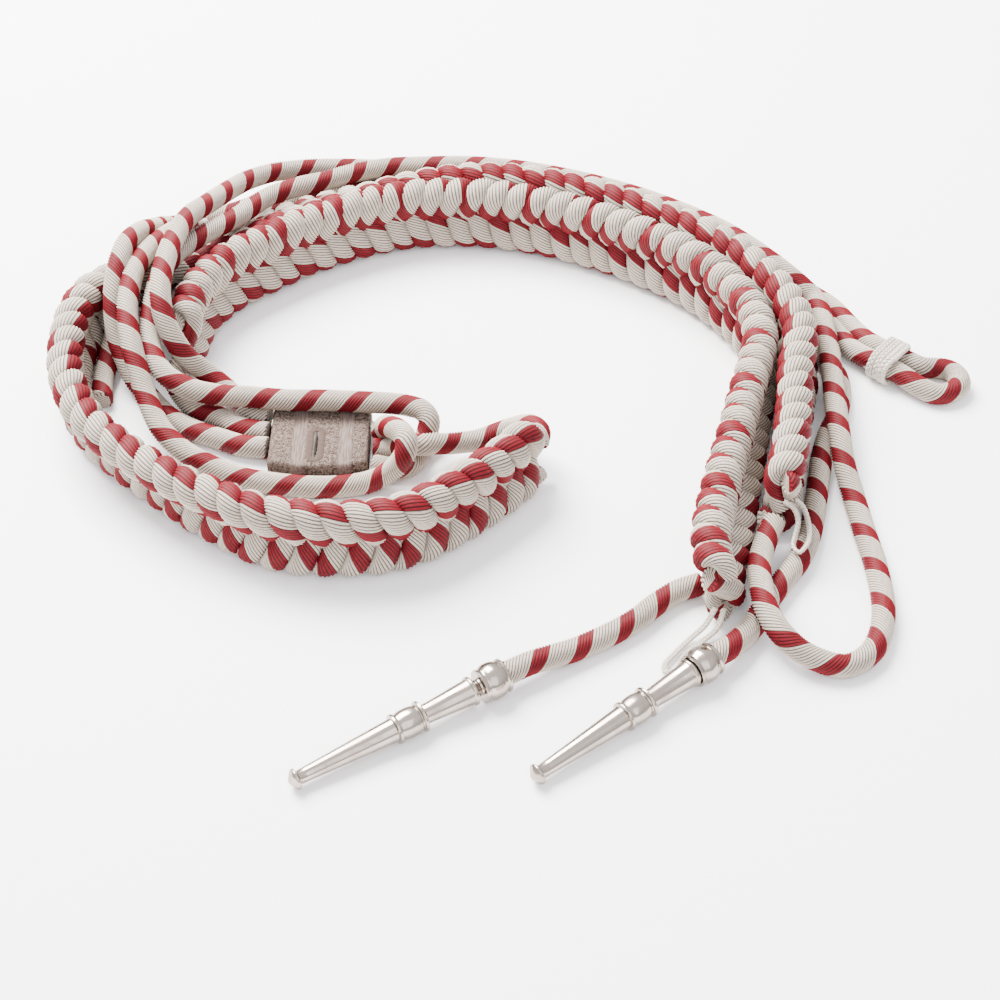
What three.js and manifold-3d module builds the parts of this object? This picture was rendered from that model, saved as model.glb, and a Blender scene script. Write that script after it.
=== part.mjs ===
// Aiguillette of silver and crimson gimp cord, lying in loose curves on a flat surface.
// Millimetres, +Z up. The origin is on the surface, under the middle of the whole.
import * as THREE from 'three';
import { mergeVertices } from 'three/addons/utils/BufferGeometryUtils.js';
import Module from 'manifold-3d';

const wasm = await Module();
wasm.setup();

// Cord
const cordDiameter = 7;
const cordSides = 8;
const longCordSteps = 1;
const shortCordSteps = 2;
const thinCordDiameter = 2.2;
const gap = 0.3;
const boreSlack = 0.5;

// Plaits: three strands of the cord, pulled tight and stood on edge
const plaitHeight = 29;
const plaitThickness = 12;
const lobePitch = 8.05;
const lobeRelief = 1.1;
const grooveDepth = 1.2;
const herringboneRake = 2.4;
const plaitApart = 1.3;
const endTaper = 0.7;

// How widely the plaits are laid out
const laidWidth = 300;
const laidDepth = 200;
const middleAcross = 4.6;
const middleAway = 33.6;

// Shoulder tab
const tabWidth = 32.9;
const tabDepth = 31;
const tabThickness = 8;
const tabCentreX = -59.85;
const tabBackY = 39.5;
const tabCornerRise = 2.2;
const tabEdgeRound = 1.2;
const buttonholeLength = 14;
const buttonholeWidth = 1.8;
const buttonholeFromBack = 21;
const buttonholeOffMiddle = -1;

// Metal points, each a point and the collar that it screws into
const pointLength = 60.3;
const pointTipFlange = 6.4;
const pointTipCone = 2.1;
const shaftSmall = 4.2;
const shaftLarge = 7.3;
const shaftLength = 32.2;
const frontRing = 9.2;
const lowerBall = 8.9;
const rearRing = 9.6;
const lowerBallLength = 8.8;
const neckSmall = 6.0;
const neckLarge = 8.1;
const pointMouth = 9.0;
const ringWidth = 1.0;
const collarRing = 10.3;
const collarBall = 11.4;
const collarRim = 10.5;
const collarLength = 8.4;
const collarBoreDepth = 4.5;
const spigotDiameter = 5.6;
const spigotReach = 3.4;
const socketDepth = 5;
const latheSides = 16;

// Slider knot round the two strands of the button loop
const knotLength = 8;
const knotWall = 1.7;
const knotStrandSpacing = 7.5;
const knotHeight = 5.75;

const silverThread = new THREE.MeshStandardMaterial({ color: 0xe2d6ca, roughness: 0.7, metalness: 0 });
const crimsonThread = new THREE.MeshStandardMaterial({ color: 0xb04048, roughness: 0.7, metalness: 0 });
const greigeCloth = new THREE.MeshStandardMaterial({ color: 0xb9aaa0, roughness: 0.9, metalness: 0 });
const nickel = new THREE.MeshStandardMaterial({ color: 0xc9c5bf, roughness: 0.18, metalness: 1 });
const paleThread = new THREE.MeshStandardMaterial({ color: 0xe9e4da, roughness: 0.6, metalness: 0 });

const aiguillette = new THREE.Group();

function addMesh(name, geometry, material) {
  const mesh = new THREE.Mesh(geometry, material);
  mesh.name = name;
  aiguillette.add(mesh);
  return mesh;
}

function bare(geometry) {
  const plain = geometry.clone();
  plain.deleteAttribute('normal');
  plain.deleteAttribute('uv');
  return mergeVertices(plain, 1e-4);
}

function toSolid(geometry) {
  const merged = bare(geometry);
  return new wasm.Manifold(new wasm.Mesh({
    numProp: 3,
    vertProperties: new Float32Array(merged.attributes.position.array),
    triVerts: new Uint32Array(merged.index.array),
  }));
}

function fromSolid(solid) {
  const mesh = solid.getMesh();
  const geometry = new THREE.BufferGeometry();
  geometry.setAttribute('position', new THREE.BufferAttribute(new Float32Array(mesh.vertProperties), 3));
  geometry.setIndex(new THREE.BufferAttribute(new Uint32Array(mesh.triVerts), 1));
  geometry.computeVertexNormals();
  return geometry;
}

// A cord's rings stand at its points and half way between them, so bends get more of them.
class CordPath extends THREE.CatmullRomCurve3 {
  getUtoTmapping(u) {
    return u;
  }
}

function cordPath(points) {
  return new CordPath(points.map(([x, y, z]) => new THREE.Vector3(x, y, z)), false, 'centripetal');
}

function cordTube(points, diameter, stepsPerPoint) {
  const section = new THREE.Shape();
  for (let side = 0; side < cordSides; side += 1) {
    const angle = (side / cordSides) * 2 * Math.PI;
    const x = (diameter / 2) * Math.cos(angle);
    const y = (diameter / 2) * Math.sin(angle);
    if (side === 0) {
      section.moveTo(x, y);
    } else {
      section.lineTo(x, y);
    }
  }
  section.closePath();
  const steps = (points.length - 1) * stepsPerPoint;
  return bare(new THREE.ExtrudeGeometry(section, {
    steps,
    extrudePath: cordPath(points),
    bevelEnabled: false,
  }));
}

// Plait routes. across and away are shares of the laid width and depth, lean is in degrees,
// with plus leaning the top edge to the right of the way the plait runs.
const shortPlaitRows = [
  { across: -0.361, away: 0.32, lean: 0 },
  { across: -0.36, away: 0.38, lean: 0 },
  { across: -0.348, away: 0.45, lean: 0 },
  { across: -0.325, away: 0.508, lean: 0 },
  { across: -0.29, away: 0.558, lean: 0 },
  { across: -0.237, away: 0.622, lean: 0 },
  { across: -0.182, away: 0.67, lean: 0 },
  { across: -0.13, away: 0.701, lean: 0 },
  { across: -0.077, away: 0.713, lean: 0 },
  { across: -0.02, away: 0.711, lean: 0 },
  { across: 0.055, away: 0.684, lean: 0 },
  { across: 0.126, away: 0.635, lean: 0 },
  { across: 0.183, away: 0.58, lean: 0 },
  { across: 0.228, away: 0.523, lean: 0 },
  { across: 0.26, away: 0.463, lean: 2 },
  { across: 0.283, away: 0.403, lean: 4 },
  { across: 0.296, away: 0.34, lean: 6 },
  { across: 0.298, away: 0.285, lean: 7 },
  { across: 0.29, away: 0.225, lean: 8 },
  { across: 0.277, away: 0.15, lean: 11 },
  { across: 0.26, away: 0.04, lean: 17 },
  { across: 0.245, away: -0.05, lean: 22 },
  { across: 0.232, away: -0.135, lean: 26 },
  { across: 0.222, away: -0.205, lean: 22 },
  { across: 0.221, away: -0.272, lean: 14 },
];

const longPlaitFrontRows = [
  { across: 0.035, away: 0.043, lean: 4 },
  { across: 0.01, away: -0.01, lean: 4 },
  { across: -0.045, away: -0.092, lean: 3 },
  { across: -0.077, away: -0.13, lean: 1 },
  { across: -0.117, away: -0.157, lean: 0 },
  { across: -0.167, away: -0.165, lean: 0 },
  { across: -0.217, away: -0.159, lean: 0 },
  { across: -0.255, away: -0.14, lean: -4 },
  { across: -0.292, away: -0.107, lean: -9 },
  { across: -0.328, away: -0.072, lean: -14 },
  { across: -0.362, away: -0.031, lean: -18 },
  { across: -0.396, away: 0.014, lean: -19 },
  { across: -0.427, away: 0.059, lean: -18 },
  { across: -0.452, away: 0.107, lean: -13 },
  { across: -0.472, away: 0.165, lean: -8 },
  { across: -0.485, away: 0.23, lean: -3 },
  { across: -0.49, away: 0.29, lean: 0 },
  { across: -0.489, away: 0.35, lean: 0 },
  { across: -0.479, away: 0.411, lean: 2 },
  { across: -0.455, away: 0.467, lean: 18 },
  { across: -0.42, away: 0.519, lean: 44 },
  { across: -0.381, away: 0.57, lean: 60 },
];

// Round the back the long plait lies against the outside of the short one.
const longPlaitBesideRows = [
  { alongShort: 0.135, lean: 60 },
  { alongShort: 0.19, lean: 60 },
  { alongShort: 0.245, lean: 58 },
  { alongShort: 0.285, lean: 50 },
  { alongShort: 0.32, lean: 38 },
  { alongShort: 0.355, lean: 26 },
  { alongShort: 0.395, lean: 17 },
  { alongShort: 0.44, lean: 12 },
  { alongShort: 0.49, lean: 10 },
  { alongShort: 0.535, lean: 9 },
  { alongShort: 0.58, lean: 7 },
  { alongShort: 0.625, lean: 4 },
  { alongShort: 0.67, lean: 4 },
  { alongShort: 0.71, lean: 6 },
  { alongShort: 0.75, lean: 8 },
];

const longPlaitEndRows = [
  { across: 0.325, away: 0.14, lean: 4 },
  { across: 0.317, away: 0.072, lean: 2 },
  { across: 0.309, away: 0.012, lean: 0 },
  { across: 0.3, away: -0.045, lean: 0 },
  { across: 0.291, away: -0.085, lean: 0 },
];

// A row becomes a point whose third coordinate is the lean in radians, small beside the lengths.
function rowPoint(row) {
  const lean = THREE.MathUtils.degToRad(row.lean);
  return new THREE.Vector3(row.across * laidWidth, row.away * laidDepth, lean);
}

const shortRoute = new THREE.CatmullRomCurve3(shortPlaitRows.map(rowPoint), false, 'centripetal');

// The half of the plait's height that its straight sides take up
const sideHalf = (plaitHeight - plaitThickness) / 2;

function besidePoint(row) {
  const place = shortRoute.getPointAt(row.alongShort);
  const way = shortRoute.getTangentAt(row.alongShort);
  const lean = THREE.MathUtils.degToRad(row.lean);
  const reach = sideHalf * Math.sin(Math.abs(lean - place.z));
  const offset = plaitThickness + plaitApart + reach;
  const flat = Math.hypot(way.x, way.y);
  const x = place.x - (way.y / flat) * offset;
  const y = place.y + (way.x / flat) * offset;
  return new THREE.Vector3(x, y, lean);
}

const longRoute = new THREE.CatmullRomCurve3([
  ...longPlaitFrontRows.map(rowPoint),
  ...longPlaitBesideRows.map(besidePoint),
  ...longPlaitEndRows.map(rowPoint),
], false, 'centripetal');

// Half of the section, from the top edge down one side: shares of half height and half thickness.
// upper and lower say how much of the lobe relief each place takes from each edge's lobes.
const plaitSection = [
  { height: 1, side: 0, upper: 1, lower: 0, rake: 0 },
  { height: 0.62, side: 0.95, upper: 0.8, lower: 0, rake: 0.35 },
  { height: 0, side: 1, upper: 0, lower: 0, rake: 1 },
  { height: -0.62, side: 0.95, upper: 0, lower: 0.8, rake: 0.35 },
  { height: -1, side: 0, upper: 0, lower: 1, rake: 0 },
  { height: -0.62, side: -0.95, upper: 0, lower: 0.8, rake: 0.35 },
  { height: 0, side: -1, upper: 0, lower: 0, rake: 1 },
  { height: 0.62, side: -0.95, upper: 0.8, lower: 0, rake: 0.35 },
];

// A plait is a closed cylinder whose rings are moved onto the route, two rings to each lobe.
// Lobes of the two edges alternate, and each face is a herringbone that points to the start.
function plaitGeometry(route) {
  const length = route.getLength();
  const rings = 2 * Math.round(length / lobePitch);
  const sides = plaitSection.length;
  const geometry = new THREE.CylinderGeometry(1, 1, 1, sides, rings);
  const position = geometry.attributes.position;
  const up = new THREE.Vector3(0, 0, 1);
  for (let i = 0; i < position.count; i += 1) {
    const ring = Math.round((position.getY(i) + 0.5) * rings);
    const radius = Math.hypot(position.getX(i), position.getZ(i));
    const turn = Math.atan2(position.getZ(i), position.getX(i)) / (2 * Math.PI);
    const corner = plaitSection[((Math.round(turn * sides) % sides) + sides) % sides];
    const along = ring / rings;
    const place = route.getPointAt(along);
    const way = route.getTangentAt(along).setZ(0).normalize();
    const right = way.clone().cross(up);
    const lean = place.z;
    const tall = up.clone().multiplyScalar(Math.cos(lean)).addScaledVector(right, Math.sin(lean));
    const wide = right.clone().multiplyScalar(Math.cos(lean)).addScaledVector(up, -Math.sin(lean));
    const stand = sideHalf * Math.abs(Math.cos(lean)) + plaitThickness / 2;
    const endRing = ring === 0 || ring === rings;
    const size = endRing ? endTaper : 1;
    const odd = ring % 2;
    const dip = lobeRelief * (corner.upper * odd + corner.lower * (1 - odd));
    const sink = corner.height === 0 ? grooveDepth : 0;
    const high = corner.height * (plaitHeight / 2) * size;
    const out = corner.side * (plaitThickness / 2) * size;
    const rake = endRing ? 0 : herringboneRake * corner.rake;
    const point = new THREE.Vector3(place.x, place.y, stand);
    if (radius > 0.5) {
      point.addScaledVector(tall, high - Math.sign(corner.height) * dip);
      point.addScaledVector(wide, -(out - Math.sign(corner.side) * (sink + dip * 0.3)));
      point.addScaledVector(way, -rake);
    }
    position.setXYZ(i, point.x, point.y, point.z);
  }
  return bare(geometry);
}

addMesh('plait_short', plaitGeometry(shortRoute), silverThread);
addMesh('plait_long', plaitGeometry(longRoute), silverThread);

// Routes of the loose cords, in millimetres, chosen by hand along the photographed curves.
// button_cord: tab, over the long plait, round the back, the button loop, and back again.
const buttonCordPoints = [
  [-77.3, 20.9, 4.2], [-86, 22.3, 4], [-94, 26, 3.8], [-103, 30.4, 3.7], [-111.8, 37, 3.7],
  [-119.5, 46.5, 4], [-125.6, 54, 6], [-128.8, 59, 9.5], [-131.8, 64.5, 14], [-133.3, 71, 20.5],
  [-133.6, 78, 27], [-132.8, 87, 32], [-131.2, 97, 33], [-128.4, 108, 30], [-126.2, 119.5, 23.5],
  [-125, 131, 16.5], [-122, 142.5, 9], [-113.5, 152.5, 4.4], [-101.5, 160, 3.6],
  [-89.5, 167.8, 3.6], [-76, 174.6, 3.6], [-61.5, 180.8, 3.6], [-46.3, 183.8, 3.6],
  [-29, 184.3, 3.6], [-13.4, 182.5, 3.6], [1.6, 179.1, 3.6], [15.5, 174.6, 3.6], [29, 169.3, 3.6],
  [42.2, 163.2, 3.6], [54.8, 156.4, 3.6], [66.9, 148.8, 3.6], [78.4, 140.2, 3.6],
  [89.6, 130.2, 3.6], [99.8, 119, 3.6], [107.2, 112.4, 3.6], [114, 105.8, 3.6], [119.8, 98.8, 3.6],
  [123.6, 91.4, 3.6], [126.6, 84, 3.9], [129.3, 78, 4.9], [133.5, 72.1, 5.7],
  [142, 65, 5.7], [146.4, 62.9, 4.9], [151.4, 63.4, 3.9], [155.8, 62.8, 3.6], [158.6, 59.6, 3.6],
  [158.8, 54.6, 3.6], [155.4, 50.8, 3.6], [149.8, 49.6, 3.6], [143.6, 52.8, 4.7], [137.4, 59, 5.7],
  [128.9, 66.1, 5.7], [124.2, 72.4, 4.6], [121.4, 79.8, 3.6], [118.4, 87, 3.6], [114.6, 94, 3.6],
  [108.6, 100.6, 3.6], [101.6, 107, 3.6],
  [94.1, 113.5, 3.6], [84.5, 124.5, 3.6], [74, 134.1, 3.6], [62.8, 142.5, 3.6],
  [51.2, 149.9, 3.6], [39.1, 156.4, 3.6], [26.5, 162.2, 3.6], [13.6, 167.3, 3.6], [0, 171.6, 3.6],
  [-14.1, 175, 3.6], [-28.6, 176.7, 3.6], [-44.4, 176.2, 3.6], [-58.9, 172.8, 3.6],
  [-72.7, 167.4, 3.6], [-85.4, 160.8, 3.6],
  [-97.4, 152.8, 3.8], [-106.4, 145.8, 5], [-113, 139.8, 9.8], [-116, 128.6, 18],
  [-118.4, 117.5, 23.5], [-121.6, 107, 27], [-124.8, 97, 29], [-126.6, 87, 30],
  [-127.6, 77, 29.5], [-127, 64, 27], [-124.6, 52.7, 23], [-121.4, 43.5, 18], [-118, 35, 13.5],
  [-112.5, 24.5, 9.5], [-104, 16.3, 6.5], [-93.5, 10.6, 4.6], [-84.5, 6.6, 3.8], [-75, 4.2, 3.6],
  [-62, 2.4, 3.6], [-52, 2.6, 3.6], [-42.6, 4.2, 4.2], [-36.6, 4.6, 7.6], [-32.8, 3.6, 12.4],
  [-30.6, 3, 17], [-29.9, 5, 20.2], [-31, 8.6, 20.4], [-33, 12.4, 19.5], [-35.5, 17, 16.8],
  [-37.6, 21.8, 13], [-38, 25.6, 9.4], [-39, 27.8, 5.8], [-41.9, 28.3, 4.6],
];

// tip_cord_long: tab, over everything, behind the long plait, past its end, to a metal point.
const longTipCordPoints = [
  [-78, 36.2, 4.2], [-83.5, 38.6, 4.3], [-89.5, 45.4, 4.6], [-95.5, 51, 6.5], [-101, 53.8, 10],
  [-106, 54.3, 15], [-110.3, 56.2, 21], [-113.8, 60.8, 27], [-115.8, 68, 32], [-116, 79, 34.6],
  [-114.4, 96, 35], [-111, 112, 34], [-106.2, 124, 31], [-101.2, 137, 27.4], [-95.4, 149.5, 24],
  [-87.4, 160.5, 20.4], [-77, 169.4, 16.4], [-64, 175, 13.2], [-50, 177, 11.5],
  [-36.2, 176.2, 11.2], [-21.5, 175.2, 11.2], [-7.2, 172.6, 11.2], [6.6, 168.8, 11.2],
  [19.7, 164.3, 11.2], [32.5, 159, 11.2], [44.9, 152.8, 11.2], [56.7, 146, 11.2],
  [68.2, 138.2, 11.2], [79, 129.5, 11.2], [89.1, 119.1, 11.2], [93.9, 113, 11.2],
  [97.9, 107, 10.6], [101.2, 100.9, 9], [104.6, 94.6, 6], [107.5, 88.4, 3.9],
  [112.2, 75.6, 3.6], [115.4, 66, 3.6], [117.2, 56, 3.6], [116.4, 46, 3.6], [113.6, 36.5, 3.6],
  [110, 28, 3.6], [106.8, 18, 3.6], [104.2, 6, 3.6], [102, -4, 3.6], [100, -13, 3.6],
  [97.5, -22, 3.6], [93, -32, 3.6], [87, -41, 3.6], [80, -52, 3.6], [76.4, -59.4, 3.7],
  [72.4, -65.3, 4.8], [68, -70.5, 5.9], [63.9, -73.9, 6.2], [60.2, -76.8, 6],
];

// loop_cord: tab, along the long plait's top, down the right side, the hanging loop,
// and up to the end of the long plait.
const loopCordPoints = [
  [-42.2, 12.6, 4.2], [-38.9, 12, 3.7], [-34.8, 11.6, 3.6], [-30.9, 12.2, 3.6],
  [-27.6, 16.2, 3.6], [-25.7, 21.2, 4.2], [-24.3, 25.2, 7], [-23.6, 27.6, 10.2], [-25.6, 30.6, 11.9],
  [-29.6, 32.8, 12.1], [-35, 34.2, 12.1], [-46, 35.2, 12.1],
  [-58, 36, 12.1], [-72, 36.3, 12.1], [-84, 37.6, 12.3], [-95, 38.3, 12.6], [-103.3, 39.8, 13.6],
  [-110.8, 43, 15.5], [-115.8, 48.3, 17.2], [-119, 56, 19.1], [-120.4, 65, 21.5],
  [-119.9, 76, 24.5], [-118.6, 88, 26.8], [-114.3, 99, 27.6], [-106.5, 111.5, 26.5],
  [-96.5, 126, 23.8], [-86.5, 141.5, 22.3], [-76, 147.6, 22.6],
  [-66.4, 152.8, 21.8], [-55.6, 161.2, 19.9], [-43, 168.2, 17.9], [-28.6, 170.4, 17.1],
  [-14.7, 169.8, 17.7], [-0.9, 167.6, 18.2], [12.4, 164.2, 18.5], [25.4, 159.8, 18.6],
  [38, 154.5, 18.6], [50.3, 148.3, 18.6], [61.8, 141.1, 18.6], [72.8, 133, 18.6],
  [83.4, 123.7, 18.6], [92.9, 112.6, 18.4], [98.6, 106.4, 17.4], [103.4, 101.8, 15.9],
  [108.4, 97.8, 13.4], [112.2, 93.6, 11.4], [113.8, 86, 11.2], [114, 76, 11.1],
  [114, 64, 11], [113.4, 50, 11], [112.6, 36, 11], [112, 21, 10.4], [112.4, 8, 7.5],
  [114.2, -4, 4.5], [115.3, -16, 3.6], [117, -36, 3.6], [116.1, -56, 3.6], [110.8, -69.6, 3.6],
  [102, -75.6, 3.6], [90.6, -73.4, 6], [83.2, -68, 9.6], [79.8, -60.4, 11], [79, -51, 11],
  [79.8, -39, 10], [83, -28, 9.5], [86, -20.8, 10.5],
];

// Leads from the tab to the start of each plait, and the cord of the other metal point
const shortLeadPoints = [
  [-77.8, 28.6, 4.2], [-87, 31.1, 4.2], [-96, 37.4, 4.2], [-103, 40.8, 4.2], [-107.9, 45.8, 4.6],
  [-111, 51, 6], [-111.2, 56, 8], [-110, 60.8, 10],
];
const longLeadPoints = [
  [-42.2, 20.4, 4.2], [-38.5, 20.2, 4.2], [-35, 18.8, 6.4], [-31.8, 15.9, 10.5],
  [-28.6, 14.2, 11.6], [-25.4, 13.8, 11.8], [-21.2, 15.8, 10.6], [-17, 18.2, 8.6],
  [-12, 20.6, 7], [-7.3, 22.2, 6.5], [-1.3, 24.2, 7.5], [5, 24, 10.5], [10, 20.6, 14.3],
  [12.8, 16, 15.5], [12.3, 11.4, 14.8],
];
const shortTipCordPoints = [
  [61.8, -41.8, 3.7], [55, -44.6, 3.6], [48, -50, 3.6], [40.5, -57.4, 3.6], [31, -64.2, 3.6],
  [22, -69.5, 3.9], [15, -73.2, 4.9], [8.8, -76.6, 5.9], [2.1, -80.7, 6.1], [-1.6, -83.1, 6],
];
const tuckedCordPoints = [
  [-134.4, 82, 13], [-136, 74, 8], [-137.2, 65, 4.6], [-137.3, 55, 3.7], [-136.1, 46, 3.7],
];
const endLoopShortPoints = [
  [65, -55.5, 7], [61.8, -59.3, 3.6], [57.4, -62.8, 1.6], [52.2, -68.8, 1.4], [48.8, -73.8, 1.4],
  [49.2, -76.2, 1.4], [52, -75.4, 1.4], [55, -70, 1.4], [60.4, -64.4, 1.6], [65.6, -60.2, 3.6],
  [67.6, -55.6, 7],
];
const endLoopLongPoints = [
  [88.8, -19.1, 17.2], [91.8, -20.4, 15.4], [93.2, -23, 12.2], [92.2, -26.6, 9.6],
  [91.2, -30.6, 8.8], [92.6, -33.2, 8.8], [95, -30.6, 8.8], [96.8, -25.6, 9.2],
  [96.4, -21.2, 11.6], [94.8, -18.8, 14.8], [92.4, -17.9, 17],
];

addMesh('button_cord', cordTube(buttonCordPoints, cordDiameter, longCordSteps), silverThread);
addMesh('loop_cord', cordTube(loopCordPoints, cordDiameter, longCordSteps), crimsonThread);
addMesh('tip_cord_long', cordTube(longTipCordPoints, cordDiameter, longCordSteps), silverThread);
addMesh('tip_cord_short', cordTube(shortTipCordPoints, cordDiameter, shortCordSteps), crimsonThread);
addMesh('lead_cord_short', cordTube(shortLeadPoints, cordDiameter, shortCordSteps), crimsonThread);
addMesh('lead_cord_long', cordTube(longLeadPoints, cordDiameter, shortCordSteps), crimsonThread);
addMesh('tucked_cord', cordTube(tuckedCordPoints, cordDiameter, shortCordSteps), crimsonThread);
addMesh('end_loop_short', cordTube(endLoopShortPoints, thinCordDiameter, longCordSteps), paleThread);
addMesh('end_loop_long', cordTube(endLoopLongPoints, thinCordDiameter, longCordSteps), paleThread);

// Shoulder tab: a stitched pad of doubled cloth over the cords' ends, cut by one buttonhole
function tabGeometry() {
  const half = tabWidth / 2;
  const front = tabBackY - tabDepth;
  const outline = new THREE.Shape();
  outline.moveTo(tabCentreX - half, tabBackY);
  outline.lineTo(tabCentreX - half, front + tabCornerRise);
  outline.quadraticCurveTo(tabCentreX, front - tabCornerRise, tabCentreX + half, front + 0.1);
  outline.lineTo(tabCentreX + half, tabBackY);
  outline.closePath();
  const pad = new THREE.ExtrudeGeometry(outline, {
    depth: tabThickness - 2 * tabEdgeRound,
    bevelEnabled: true,
    bevelThickness: tabEdgeRound,
    bevelSize: tabEdgeRound,
    bevelOffset: -tabEdgeRound,
    bevelSegments: 2,
    curveSegments: 8,
  });
  pad.translate(0, 0, tabEdgeRound);
  const slit = new THREE.Shape();
  const slitHalf = buttonholeLength / 2;
  slit.moveTo(0, slitHalf);
  slit.quadraticCurveTo(buttonholeWidth, 0, 0, -slitHalf);
  slit.quadraticCurveTo(-buttonholeWidth, 0, 0, slitHalf);
  const cutter = new THREE.ExtrudeGeometry(slit, {
    depth: tabThickness * 2,
    bevelEnabled: false,
    curveSegments: 4,
  });
  cutter.translate(tabCentreX + buttonholeOffMiddle, tabBackY - buttonholeFromBack, -tabThickness / 2);
  return fromSolid(toSolid(pad).subtract(toSolid(cutter)));
}

addMesh('shoulder_tab', tabGeometry(), greigeCloth);

// Slider knot: a flat ring round both strands of the button loop
function knotGeometry() {
  const flat = knotStrandSpacing / 2;
  const inner = cordDiameter / 2 + boreSlack;
  const outer = inner + knotWall;
  const ring = new THREE.Shape();
  ring.absarc(flat, 0, outer, -Math.PI / 2, Math.PI / 2, false);
  ring.absarc(-flat, 0, outer, Math.PI / 2, (3 * Math.PI) / 2, false);
  ring.closePath();
  const hole = new THREE.Path();
  hole.absarc(flat, 0, inner, Math.PI / 2, -Math.PI / 2, true);
  hole.absarc(-flat, 0, inner, (3 * Math.PI) / 2, Math.PI / 2, true);
  hole.closePath();
  ring.holes.push(hole);
  const geometry = new THREE.ExtrudeGeometry(ring, {
    depth: knotLength,
    bevelEnabled: false,
    curveSegments: 8,
  });
  geometry.translate(0, 0, -knotLength / 2);
  return bare(geometry);
}

// The knot is square to the strands that run through it.
const knotPlace = new THREE.Vector3(135.5, 65.5, knotHeight);
const knotTurn = THREE.MathUtils.degToRad(50);
const knot = addMesh('slider_knot', knotGeometry(), paleThread);
knot.position.copy(knotPlace);
knot.rotation.order = 'ZYX';
knot.rotation.set(Math.PI / 2, 0, knotTurn);

// Profiles of the point and the collar, as radius and distance from the tip of the point
function pointProfile() {
  const ringStart = pointTipCone + shaftLength;
  const ballMiddle = ringStart + lowerBallLength / 2;
  const rearStart = ringStart + lowerBallLength;
  const socket = spigotDiameter / 2 + gap;
  return [
    [0, 0],
    [pointTipFlange / 2, pointTipCone],
    [shaftSmall / 2, pointTipCone + ringWidth],
    [shaftLarge / 2, ringStart - ringWidth / 2],
    [frontRing / 2, ringStart],
    [frontRing / 2, ringStart + ringWidth / 2],
    [lowerBall / 2, ballMiddle - lowerBallLength / 5],
    [lowerBall / 2, ballMiddle + lowerBallLength / 5],
    [rearRing / 2, rearStart - ringWidth / 2],
    [rearRing / 2, rearStart],
    [neckSmall / 2, rearStart + ringWidth],
    [neckLarge / 2, pointLength - ringWidth],
    [pointMouth / 2, pointLength - ringWidth / 2],
    [pointMouth / 2, pointLength],
    [socket, pointLength],
    [socket, pointLength - socketDepth],
    [0, pointLength - socketDepth],
  ];
}

function collarProfile(opened) {
  const start = pointLength + opened;
  const bore = cordDiameter / 2 + boreSlack;
  const end = start + collarLength;
  return [
    [0, start - spigotReach],
    [spigotDiameter / 2, start - spigotReach],
    [spigotDiameter / 2, start],
    [collarRing / 2, start],
    [collarRing / 2, start + ringWidth],
    [collarRing / 2 - ringWidth / 4, start + 1.4 * ringWidth],
    [collarBall / 2, start + 0.35 * collarLength],
    [collarBall / 2, start + 0.62 * collarLength],
    [collarRim / 2 - ringWidth / 3, end - ringWidth],
    [collarRim / 2, end - ringWidth / 2],
    [collarRim / 2, end],
    [bore, end],
    [bore, end - collarBoreDepth],
    [0, end - collarBoreDepth],
  ];
}

function turned(profile) {
  const points = profile.map(([radius, along]) => new THREE.Vector2(radius, along));
  return bare(new THREE.LatheGeometry(points, latheSides));
}

// Each collar holds the end of its cord, and the point reaches on from it. They lie on the
// surface on the point's tip flange and the collar's ball.
const seatDepth = collarBoreDepth - 1.2;
const metalPoints = [
  { number: 1, cordEnd: shortTipCordPoints.at(-1), heading: 32.1, opened: 2.4 },
  { number: 2, cordEnd: longTipCordPoints.at(-1), heading: 38.4, opened: gap },
];
for (const { number, cordEnd, heading, opened } of metalPoints) {
  const restLength = pointLength + opened + collarLength / 2 - pointTipCone;
  const rise = Math.asin((collarBall - pointTipFlange) / 2 / restLength);
  const reach = (pointLength + opened + collarLength - seatDepth) * Math.cos(rise);
  const turn = THREE.MathUtils.degToRad(heading);
  const frame = new THREE.Group();
  frame.position.set(
    cordEnd[0] - reach * Math.cos(turn),
    cordEnd[1] - reach * Math.sin(turn),
    pointTipFlange / 2 + gap / 2,
  );
  frame.rotation.order = 'ZYX';
  frame.rotation.set(rise, 0, turn - Math.PI / 2);
  const point = new THREE.Mesh(turned(pointProfile()), nickel);
  point.name = `point_${number}`;
  const collar = new THREE.Mesh(turned(collarProfile(opened)), nickel);
  collar.name = `collar_${number}`;
  frame.add(point, collar);
  aiguillette.add(frame);
}

aiguillette.position.set(-middleAcross, -middleAway, 0);

export default aiguillette;
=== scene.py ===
import math

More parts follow.
